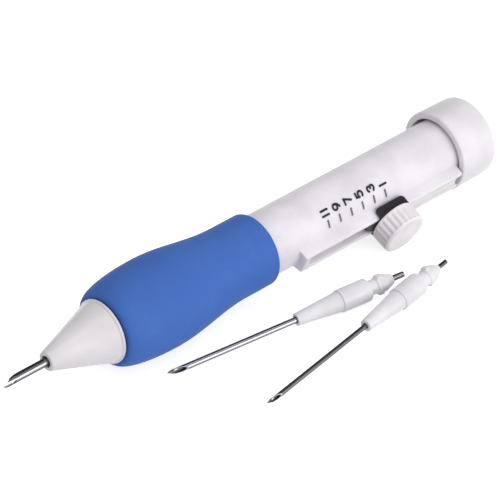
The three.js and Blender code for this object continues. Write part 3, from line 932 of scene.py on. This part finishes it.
@dataclass
class SaddlePlate(SubAssembly):
    """The dark bridge over the rail under the knob, with its tongue in the slot ahead."""

    station: float = 119.65
    length: float = 9.8
    foot: float = 10.45
    thickness: float = 0.5
    inner_half: float = 3.2
    leg_foot: float = 7.96
    spread: float = 0.374
    corner: float = 1.1
    tongue_half: float = 1.5
    tongue_reach: float = 8.0
    tongue_low: float = 9.2
    tongue_lift: float = 0.35
    tongue_edge: float = 0.25
    tongue_rear: float = 2.4

    def section(self, half: float, top: float, leg_foot: float, edge: float) -> np.ndarray:
        """One line of the bridge across the rail, from foot to foot over its two rounded corners.

        Args:
            half: Half the line's width at the top.
            top: How far out its top lies.
            leg_foot: How far down the legs reach at this station.
            edge: Radius of its corners.

        Returns:
            Points of (side, out).
        """
        foot_half = half + self.spread * (self.foot - leg_foot) / (self.foot - self.leg_foot)
        corners = [(-foot_half, leg_foot), (-half, top, edge), (half, top, edge), (foot_half, leg_foot)]
        return softened(corners, 5)

    def bridge(self, shell: Shell) -> None:
        """Adds the bridge. Its legs' lower corners are rounded, by a quarter circle at each end."""
        half = self.length / 2
        turn = np.linspace(0, math.pi / 2, 9)
        ends = [(half - self.corner * (1 - math.sin(t)), self.corner * (1 - math.cos(t))) for t in turn]
        stations = [(-x, lift) for x, lift in reversed(ends)] + ends
        faces = []
        for thickness, edge in ((self.thickness, 0.4), (0.0, 0.2)):
            rows = []
            for shift, lift in stations:
                line = self.section(
                    self.inner_half + thickness, self.foot + thickness, self.leg_foot + lift, edge
                )
                rows.append(together(self.station + shift, *line.T))
            faces.append(shell.sheet(np.array(rows)))
        outer, inner = faces
        for line in (np.s_[0], np.s_[-1], np.s_[:, 0], np.s_[:, -1]):
            shell.strip(outer[line], inner[line])

    def tongue(self, shell: Shell) -> None:
        """Adds the tongue: a bar with a rounded section whose top slopes down to its narrow front."""
        top = self.foot + self.tongue_lift
        half, edge = self.tongue_half, self.tongue_edge
        low = self.tongue_low
        corners = [(half, top, edge), (half, low, edge), (-half, low, edge), (-half, top, edge)]
        ring = softened([(0, top), *corners, (0, top)], 4)[:-1]
        middle = np.array([0, (top + low) / 2])
        front, rear = self.station - self.tongue_reach, self.station + self.tongue_rear
        nose = [(0, 0, 0), (0, 0.35, 0.3), (0.1, 0.5, 0.36), (0.4, 0.7, 0.45)]
        nose += [(1, 0.9, 0.6), (1.8, 1, 0.8), (2.6, 1, 1)]
        ends = [(front + shift, wide, high) for shift, wide, high in nose]
        grid = []
        for station, wide, high in ends + [(rear, 1, 1), (rear, 0, 0)]:
            shape = middle + (ring - middle) * [wide, high]
            shape[:, 1] -= (1 - high) * (top - low) / 2
            grid.append(together(station, *shape.T))
        shell.sheet(np.array(grid), ring=True)

    def build(self) -> None:
        """Builds the bridge and its tongue."""
        shell = Shell(self.seat)
        self.bridge(shell)
        self.tongue(shell)
        self.hand_over(shell.build("saddle_bridge"), Body.CARRIER, BLACK_MOULDING, "saddle_plate")


@dataclass
class Scale(SubAssembly):
    """The printed scale of loop heights: six numbers, each with a tick."""

    radius: float = 8.3
    first_station: float = 119.69
    pitch: float = 3.94
    labels: tuple[str, ...] = ("1", "3", "5", "7", "9", "11")
    tick_turn: float = 42.5
    tick_length: float = 2.3
    tick_width: float = 0.58
    height: float = 2.7
    stroke: float = 0.6
    gap: float = 2.0
    proud: float = 0.02
    layer_step: float = 0.004
    sunk: float = 0.05
    step: float = 0.12
    one_indent: float = 0.1

    def oval(
        self, centre: Sequence[float], size: Sequence[float], start: float, stop: float
    ) -> np.ndarray:
        """Part of an oval between two turns in degrees, counted anticlockwise from the right."""
        turn = np.radians(np.linspace(start, stop, 24))
        return together(centre[0] + size[0] * np.cos(turn), centre[1] + size[1] * np.sin(turn))

    def strokes(self, label: str) -> list[np.ndarray]:
        """The pen strokes of a number, in units of its height.

        Args:
            label: The number.

        Returns:
            Lines of (right, up), from the number's left edge.
        """
        drawn = {
            "1": [[(0, 0), (0, 1)]],
            "3": [
                self.oval((0.25, 0.74), (0.25, 0.26), 158, -78),
                self.oval((0.25, 0.26), (0.29, 0.26), 82, -158),
            ],
            "5": [
                [(0.5, 1), (0.07, 1)],
                [(0.07, 1), (0.03, 0.55)],
                self.oval((0.25, 0.33), (0.3, 0.33), 132, -138),
            ],
            "7": [[(0, 1), (0.56, 1)], [(0.56, 1), (0.2, 0)]],
            "9": [
                self.oval((0.28, 0.68), (0.28, 0.32), 0, 360),
                [(0.56, 0.68), (0.55, 0.45), (0.45, 0.2), (0.2, 0)],
            ],
            "11": [[(0, 0), (0, 1)], [(0.52, 0), (0.52, 1)]],
        }
        return [np.array(stroke, float) for stroke in drawn[label]]

    def ribbon(self, shell: Shell, line: np.ndarray, width: float, lift: float) -> None:
        """Adds one stroke, laid round the barrel, with half-round ends.

        At each point of the line the stroke reaches half its width to both sides. At its ends the
        reach is that of a half circle. The section is a thin box that is sunk into the barrel.

        Args:
            shell: Where it goes.
            line: Points of (station, arc length round the barrel), in millimetres.
            width: The stroke's width.
            lift: How far its face stands out of the barrel.
        """
        length = np.concatenate([[0], np.cumsum(np.linalg.norm(np.diff(line, axis=0), axis=1))])
        even = np.linspace(0, length[-1], max(8, int(length[-1] / self.step)))
        spots = together(*(np.interp(even, length, part) for part in line.T))
        ahead = np.gradient(spots, axis=0)
        ahead /= np.linalg.norm(ahead, axis=1, keepdims=True)
        turn = np.linspace(0, math.pi / 2, 6)[1:, None]
        start = spots[0] - ahead[0] * np.sin(turn[::-1]) * width / 2
        stop = spots[-1] + ahead[-1] * np.sin(turn) * width / 2
        reach = np.concatenate([np.cos(turn[::-1]), np.ones((len(spots), 1)), np.cos(turn)])
        ahead = np.concatenate([np.repeat(ahead[:1], 5, 0), ahead, np.repeat(ahead[-1:], 5, 0)])
        spots = np.concatenate([start, spots, stop])
        across = together(-ahead[:, 1], ahead[:, 0]) * reach * width / 2
        columns = []
        for sign, rise in ((-1, -self.sunk), (-1, lift), (0, lift), (1, lift), (1, -self.sunk)):
            station, arc = (spots + sign * across).T
            turned, out = arc / self.radius, self.radius + rise
            columns.append(together(station, out * np.sin(turned), out * np.cos(turned)))
        shell.sheet(np.stack(columns, axis=1), ring=True)

    def build(self) -> None:
        """Builds the numbers as one piece and the ticks as another."""
        numbers, ticks = Shell(self.seat), Shell(self.seat)
        middle = math.radians(self.tick_turn) * self.radius
        half = (self.tick_length - self.tick_width) / 2
        for place, label in enumerate(self.labels):
            station = self.first_station - place * self.pitch
            tick = np.array([(station, middle - half), (station, middle + half)])
            self.ribbon(ticks, tick, self.tick_width, self.proud)
            indent = self.gap + self.stroke / 2 + (self.one_indent if label == "1" else 0)
            for layer, stroke in enumerate(self.strokes(label)):
                arc = middle + indent + stroke[:, 0] * self.height
                along = station - (stroke[:, 1] - 0.5) * (self.height - self.stroke)
                lift = self.proud + self.layer_step * layer
                self.ribbon(numbers, together(along, arc), self.stroke, lift)
        self.hand_over(numbers.build("scale_numbers"), Body.PEN, PRINTED_INK)
        self.hand_over(ticks.build("scale_ticks"), Body.PEN, GREY_INK)


# Needles


@dataclass
class Needle(SubAssembly):
    """A hollow needle with its hub, in the pen or on the table."""

    prefix: str = "needle"
    body: Body = Body.NEEDLE
    steel: Finish = NEEDLE_PLATE
    radius: float = 1.1
    wall_share: float = 0.22
    bevel_lengths: float = 3.4
    tip_share: float = 0.9
    mouth_turn: float = 0.0
    point_lengths: float = 1.2
    eye_place: float = 1.55
    eye_share: float = 0.25
    eye_long_share: float = 0.75
    eye_rim: float = 1.12
    eye_rim_depth: float = 0.035
    point_inset: float = 0.12
    rear_edge: float = 0.05
    rear_setback: float = 0.08
    rear: float = 68.5
    hub_front: float = 36.7
    cone_length: float = 12.7
    body_length: float = 8.5
    neck_length: float = 2.2
    head_length: float = 2.6
    tail_length: float = 2.4
    mould: float = 0.15
    front_radius: float = 1.6
    cone_step: float = 0.3
    body_radius: float = 3.0
    neck_radius: float = 1.95
    head_radius: float = 2.25
    tail_wall: float = 0.35
    lug_radius: float = 2.65
    lug_setback: float = 0.4
    lug_length: float = 1.5
    lug_width: float = 2.4
    around: int = 64

    def mouth(self, radius: float, turn: np.ndarray, inset: float) -> np.ndarray:
        """The station where the slanted mouth cuts a tube of a radius, at each turn.

        The cut is a plane that rises away from the out direction. Near the tip two side grinds bring
        the end to a lancet point: there the cut falls back with the sine of the turn.

        Args:
            radius: Radius of the tube's face.
            turn: Turns from the out direction.
            inset: How far the pointed part is set back.

        Returns:
            Stations.
        """
        below = self.tip_share * self.radius - radius * np.cos(turn)
        plane = self.bevel_lengths * 2 * below / (1 + self.tip_share)
        point = inset + self.point_lengths * 2 * self.radius * np.abs(np.sin(turn)) ** 1.2
        point = np.where(np.cos(turn) > 0, point, 0)
        return np.maximum(np.maximum(plane, point), 0)

    def tube(self) -> None:
        """Builds the tube: an outer and an inner face, the mouth's rim, the eye and the rear rim.

        Both faces are grids of station and turn. The cells round the eye are left out, and rings of
        points lead from the edge of that window to the long hole through the wall.
        """
        radii = self.radius, self.radius * (1 - self.wall_share)
        turn = np.linspace(-math.pi, math.pi, self.around, endpoint=False)
        share = np.concatenate(
            [[0, 0.0004, 0.0012, 0.003], np.linspace(0.008, 0.13, 36), np.linspace(0.16, 1, 14)[:-1]]
        )
        swing = math.radians(self.mouth_turn)
        side = self.seat.side * math.cos(swing) - self.seat.out * math.sin(swing)
        out = self.seat.out * math.cos(swing) + self.seat.side * math.sin(swing)
        shell = Shell(Seat(self.seat.origin, self.seat.along, side, out))
        grids = []
        for own, inset in zip(radii, (0.0, self.point_inset * self.radius)):
            start = self.mouth(own, turn, inset)
            station = start + (self.rear - self.rear_setback - start) * share[:, None]
            grids.append(together(station, own * np.sin(turn), own * np.cos(turn)))
        outer, inner = numbers = [shell.points(grid) for grid in grids]
        wide, narrow = (
            shell.points(together(self.rear, reach * np.sin(turn), reach * np.cos(turn)))
            for reach in (radii[0] - self.rear_edge, radii[1] + self.rear_edge)
        )
        rims = ((outer[0], inner[0]), (outer[-1], wide), (wide, narrow), (narrow, inner[-1]))
        for first, second in rims:
            shell.strip(first, second, ring=True)
        window, keep = self.eye_window(grids[0])
        holes = []
        for own, grid, own_numbers in zip(radii, grids, numbers):
            shell.skin(own_numbers, ring=True, keep=keep)
            loops = [own_numbers[window]]
            loops += [shell.points(loop) for loop in self.eye_loops(grids[0][window], grid[window], own)]
            for first, second in zip(loops, loops[1:]):
                shell.strip(first, second, ring=True)
            holes.append(loops[-1])
        shell.strip(*holes, ring=True)
        piece = shell.build(f"{self.prefix}_bright_tube", 34)
        self.hand_over(piece, self.body, self.steel, f"{self.prefix}_tube")

    def eye_window(self, grid: np.ndarray) -> tuple[tuple[np.ndarray, np.ndarray], np.ndarray]:
        """The window of cells round the eye.

        Args:
            grid: Points of the tube's outer face.

        Returns:
            The rows and columns of the window's edge, in a ring, and whether each cell is kept.
        """
        eye = self.eye_place * 2 * self.radius
        reach = self.eye_long_share * self.radius * 1.3
        middle = self.around // 2
        columns = math.ceil(math.asin(self.eye_share * 1.5) / (2 * math.pi / self.around))
        front = int(np.argmax(grid[:, middle, 0] > eye - reach)) - 1
        rear = int(np.argmax(grid[:, middle, 0] > eye + reach))
        rows = np.arange(front, rear + 1)
        spans = np.arange(middle - columns, middle + columns + 1)
        over, down = np.ones(len(spans) - 1, int), np.ones(len(rows) - 1, int)
        window = (
            np.concatenate([rows[:-1], rear * over, rows[:0:-1], front * over]),
            np.concatenate([spans[0] * down, spans[:-1], spans[-1] * down, spans[:0:-1]]),
        )
        keep = np.ones((len(grid) - 1, self.around), bool)
        keep[front:rear, middle - columns : middle + columns] = False
        return window, keep

    def eye_loops(self, outer: np.ndarray, edge: np.ndarray, radius: float) -> list[np.ndarray]:
        """Rings of points from the edge of the eye's window to the eye, on one face of the tube.

        Args:
            outer: Points of the window's edge on the outer face, which give the bearings.
            edge: The same points on this face.
            radius: The face's radius.

        Returns:
            Three rings, the last one being the eye's own, sunk a little into the wall.
        """
        eye = self.eye_place * 2 * self.radius
        half, long = self.eye_share * self.radius, self.eye_long_share * self.radius
        bearing = np.arctan2(outer[:, 1] / half, (outer[:, 0] - eye) / long)
        depth = self.eye_rim_depth * self.radius * (-1 if radius == self.radius else 1)
        made = []
        for mix, bite, sink in ((0.5, self.eye_rim, 0.0), (1.0, self.eye_rim, 0.0), (1.0, 1.0, depth)):
            station = edge[:, 0] + (eye + long * bite * np.cos(bearing) - edge[:, 0]) * mix
            side = edge[:, 1] + (half * bite * np.sin(bearing) - edge[:, 1]) * mix
            made.append(together(station, side, np.sqrt(radius**2 - side**2) + sink))
        return made

    def hub(self) -> None:
        """Builds the hub: a turned profile whose head swells out at its two lugs."""
        bore = self.radius + self.mould
        body = self.hub_front + self.cone_length
        neck = body + self.body_length
        head = neck + self.neck_length
        tail = head + self.head_length
        rear = tail + self.tail_length
        lug = head + self.lug_setback
        profile = softened(
            [
                (self.hub_front, bore, 0),
                (self.hub_front, self.front_radius, 0.12),
                (body - 0.02, self.body_radius - self.cone_step, 0.05),
                (body, self.body_radius - 0.02, 0.1),
                (neck - 0.1, self.body_radius, 0.75),
                (neck, self.neck_radius, 0.25),
                (head, self.neck_radius, 0.2),
                (head + 0.1, self.head_radius, 0.25),
                *[(lug + behind, self.head_radius) for behind in (0, 0.1, 0.3)],
                *[(lug + self.lug_length - before, self.head_radius) for before in (0.3, 0.1, 0)],
                (tail, self.head_radius, 0.6),
                (rear, bore + self.tail_wall, 0.15),
                (rear, bore, 0),
                (self.hub_front, bore, 0),
            ]
        )
        grid = lathe(profile, 144)
        station, radius = grid[..., 0], profile[:, 1, None]
        turn = np.linspace(0, 2 * math.pi, 144, endpoint=False)
        across = np.abs(np.cos(turn)) * self.lug_radius
        wide = 1 - smooth_step(across, self.lug_width / 2 - 0.12, self.lug_width / 2 + 0.08)
        long = smooth_step(station, lug - 0.01, lug + 0.12)
        lug_rear = lug + self.lug_length
        long = long * (1 - smooth_step(station, lug_rear - 0.12, lug_rear + 0.01))
        swell = (self.lug_radius - radius) * wide * long * (radius > bore + 0.1)
        scale = (radius + np.maximum(swell, 0)) / radius
        piece = self.closed(grid * together(1.0, scale, scale), f"{self.prefix}_white_hub", 42)
        self.hand_over(piece, self.body, HUB_MOULDING, f"{self.prefix}_hub")

    def build(self) -> None:
        """Builds the tube and the hub."""
        self.tube()
        self.hub()


# Where things lie


def unit(vector: Sequence[float]) -> np.ndarray:
    """A vector of length 1."""
    made = np.array(vector, float)
    return made / np.linalg.norm(made)


def pen_seat() -> Seat:
    """The pen's seat, read from the frame: its axis, the knob's direction and the needle's tip."""
    joints = {joint["name"]: joint for joint in frame["joints"]}
    along = -unit(joints["depth_slide"]["axis"])
    out = unit(joints["knob_turn"]["axis"])
    side = unit(np.cross(out, along))
    point = np.array(joints["needle_turn"]["pos_m"], float)
    mesh = frame["nodes"]["needle_tube"].data
    flat = np.empty(len(mesh.vertices) * 3, np.float32)
    mesh.vertices.foreach_get("co", flat)
    tip = ((flat.reshape(-1, 3) - point) @ along).min()
    return Seat(point + along * tip, along, side, unit(np.cross(along, side)))


def spare_seat(pen: Seat, x: float, y: float, heading: float, lugs: float, radius: float) -> Seat:
    """The seat of a spare needle, which leans on its tube's front and its hub body's front edge.

    Args:
        pen: The pen's seat, whose origin the place is counted from.
        x: Place of the tip along +X, in millimetres.
        y: Place of the tip along +Y.
        heading: Turn about +Z, in degrees.
        lugs: Turn about the needle's own axis, in degrees.
        radius: Radius of the tube.

    Returns:
        The seat.
    """
    rise = math.atan2(Needle.body_radius - radius, Needle.hub_front + Needle.cone_length)
    turned = (
        Matrix.Rotation(math.radians(heading), 3, "Z")
        @ Matrix.Rotation(-rise, 3, "Y")
        @ Matrix.Rotation(math.radians(lugs), 3, "X")
    )
    axes = np.array(turned).T
    origin = np.array([pen.origin[0] + x * MM, pen.origin[1] + y * MM, radius * math.cos(rise) * MM])
    return Seat(origin, axes[0], axes[2], -axes[1])


@dataclass
class CarriedOver:
    """CAD nodes that keep their own shape and get a finish."""

    finishes: Mapping[str, Finish] = field(
        default_factory=lambda: {
            "barrel": BARREL_MOULDING,
            "cone": WHITE_MOULDING,
            "sleeve": BLUE_SKIN,
            "cap": WHITE_MOULDING,
            "carrier": NATURAL_NYLON,
            "nut": ZINC_PLATE,
            "stud": ZINC_PLATE,
            "plate": BLACK_MOULDING,
            "knob": KNOB_MOULDING,
            "tube": NEEDLE_PLATE,
            "hub": HUB_MOULDING,
        }
    )

    def build(self) -> None:
        """Gives every node the finish for the last word of its name, read in the row frame."""
        for name, node in frame["nodes"].items():
            made = self.finishes[name.split("_")[-1]].material(Pattern.OBJECT)
            if not node.data.materials:
                node.data.materials.append(made)
            for place in node.material_slots:
                place.material = made
            log.info("%s keeps its CAD shape in %s", name, made.name)


# Studio


@dataclass
class Studio:
    """The floor, the lamps, the world and the camera of the photograph."""

    azimuth: float = -43.4115
    elevation: float = 38.049
    roll: float = 1.218
    distance: float = 1.00178
    focal_pixels: float = 4044.28
    picture: float = 500.0
    target: tuple[float, float, float] = (-0.175, 12.213, 10.977)
    right_shift: float = 1.5368
    up_shift: float = 1.7604
    seeing: tuple[str, ...] = ("Camera", "Glossy", "Transmission")
    white: tuple[float, ...] = (1, 1, 1, 1)
    gloss_horizon: tuple[float, ...] = (0.84, 0.84, 0.85, 1)
    gloss_ceiling: tuple[float, ...] = (0.08, 0.079, 0.082, 1)
    dim_side: tuple[float, ...] = (0.52, 0.52, 0.525, 1)
    open_side: tuple[float, ...] = (0.9, 0.9, 0.905, 1)
    floor_colour: tuple[float, ...] = (0.68, 0.68, 0.686, 1)
    floor_glow: float = 0.72
    floor_reach: float = 6.0
    floor_drop: float = 0.00005

    def camera(self) -> None:
        """Sets the camera on the line of sight, turned by the roll and moved beside it."""
        turn, lift, roll = (math.radians(v) for v in (self.azimuth, self.elevation, self.roll))
        back = Vector(
            (
                math.sin(turn) * math.cos(lift),
                -math.cos(turn) * math.cos(lift),
                math.sin(lift),
            )
        )
        right = Vector((math.cos(turn), math.sin(turn), 0))
        up = back.cross(right)
        cosine, sine = math.cos(roll), math.sin(roll)
        right, up = right * cosine + up * sine, up * cosine - right * sine
        place = Vector(self.target) * MM + back * self.distance
        place += right * self.right_shift * MM + up * self.up_shift * MM
        lens = bpy.data.cameras.new("camera")
        lens.sensor_fit = "HORIZONTAL"
        lens.sensor_width = 36.0
        lens.lens = 36.0 * self.focal_pixels / self.picture
        lens.clip_start = 0.01
        lens.clip_end = 20.0
        made = bpy.data.objects.new("camera", lens)
        matrix = Matrix((right, up, back)).transposed().to_4x4()
        matrix.translation = place
        made.matrix_world = matrix
        bpy.context.scene.collection.objects.link(made)
        bpy.context.scene.camera = made

    def lamp(
        self, name: str, place: Sequence[float], size: float, power: float, colour: Sequence[float]
    ) -> None:
        """Hangs a soft square lamp that looks at the middle of the pen.

        Args:
            name: Its name.
            place: Where it hangs, in metres.
            size: Its edge, in metres.
            power: Its power in watts.
            colour: Its colour.
        """
        light = bpy.data.lights.new(name, "AREA")
        light.shape = "SQUARE"
        light.size = size
        light.energy = power
        light.color = colour
        made = bpy.data.objects.new(name, light)
        made.location = place
        aim = Vector((0, 0, 0.01)) - Vector(place)
        made.rotation_euler = aim.to_track_quat("-Z", "Y").to_euler()
        bpy.context.scene.collection.objects.link(made)

    def world(self) -> None:
        """Lights from all round at a plain level. The camera sees white, gloss sees a shaded room."""
        world = bpy.data.worlds.new("studio")
        world.use_nodes = True
        bpy.context.scene.world = world
        graph = Graph(world.node_tree)
        way = graph.node("ShaderNodeTexCoord", None, None, "Generated")
        across, depth, height = (graph.part(way, axis) for axis in "XYZ")
        ceiling = (height * 0.8 + depth * 0.6).over(0.0, 0.36)
        seen = graph.mix(ceiling, self.gloss_horizon, self.gloss_ceiling)
        toward_open = (across * 0.55 - depth * 0.6).over(-0.9, 0.9)
        soft = graph.mix(toward_open, self.dim_side, self.open_side)
        plain = graph.mix(graph.ray("Glossy"), soft, seen)
        whole = graph.mix(graph.ray("Camera"), plain, self.white)
        shader = graph.node("ShaderNodeBackground", None, {"Color": whole, "Strength": 1.0})
        graph.node("ShaderNodeOutputWorld", None, {"Surface": shader})

    def floor(self) -> None:
        """Lays a wide pale floor at the height of the table."""
        across = np.linspace(-self.floor_reach, self.floor_reach, 3)
        grid = together(across[:, None], across, -self.floor_drop)
        mesh = bpy.data.meshes.new("floor")
        numbers = np.arange(9).reshape(3, 3)
        cells = together(numbers[:-1, :-1], numbers[1:, :-1], numbers[1:, 1:], numbers[:-1, 1:])
        mesh.from_pydata(grid.reshape(-1, 3), [], cells.reshape(-1, 4).tolist())
        made = bpy.data.objects.new("floor", mesh)
        bpy.context.scene.collection.objects.link(made)
        finish = bpy.data.materials.new("pale_floor")
        finish.use_nodes = True
        graph = Graph(finish.node_tree)
        camera, glossy, transmission = (graph.ray(kind) for kind in self.seeing)
        sight = camera + glossy + transmission
        shader = graph.node(
            "ShaderNodeBsdfPrincipled",
            None,
            {
                "Base Color": self.floor_colour,
                "Roughness": 0.9,
                "Specular IOR Level": 0.0,
                "Emission Color": graph.mix(sight, (0, 0, 0, 1), self.white),
                "Emission Strength": self.floor_glow,
            },
        )
        graph.node("ShaderNodeOutputMaterial", None, {"Surface": shader})
        mesh.materials.append(finish)

    def build(self) -> None:
        """Sets up the whole studio."""
        bpy.context.scene.view_settings.view_transform = "Standard"
        self.world()
        self.floor()
        self.lamp("key_lamp", (0.25, -1.15, 0.38), 0.8, 5.5, (1.0, 0.99, 0.98))
        self.lamp("top_lamp", (0.1, -0.2, 1.2), 0.8, 2.35, (1.0, 1.0, 1.0))
        self.camera()
        log.info("studio is ready")


def main() -> None:
    """Builds the finishes, the pen, the spare needles and the studio."""
    logging.basicConfig(level=logging.INFO, format="%(name)s: %(message)s")
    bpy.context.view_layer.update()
    pen = pen_seat()
    CarriedOver().build()
    sub_assemblies: list[Union[SubAssembly, Studio]] = [
        Barrel(pen),
        NoseCone(pen),
        GripSleeve(pen),
        EndCap(pen),
        SaddlePlate(pen),
        ThumbKnob(pen),
        Scale(pen),
        Needle(pen, mouth_turn=30.0),
        Needle(
            spare_seat(pen, x=42.4, y=-12.4, heading=-10.4, lugs=165, radius=0.8),
            prefix="spare_medium",
            body=Body.PEN,
            steel=MEDIUM_PLATE,
            radius=0.8,
        ),
        Needle(
            spare_seat(pen, x=53.3, y=-36.4, heading=6.8, lugs=155, radius=0.65),
            prefix="spare_fine",
            body=Body.PEN,
            steel=FINE_PLATE,
            radius=0.65,
        ),
        Studio(),
    ]
    for made in sub_assemblies:
        made.build()


if __name__ == "__main__":
    main()
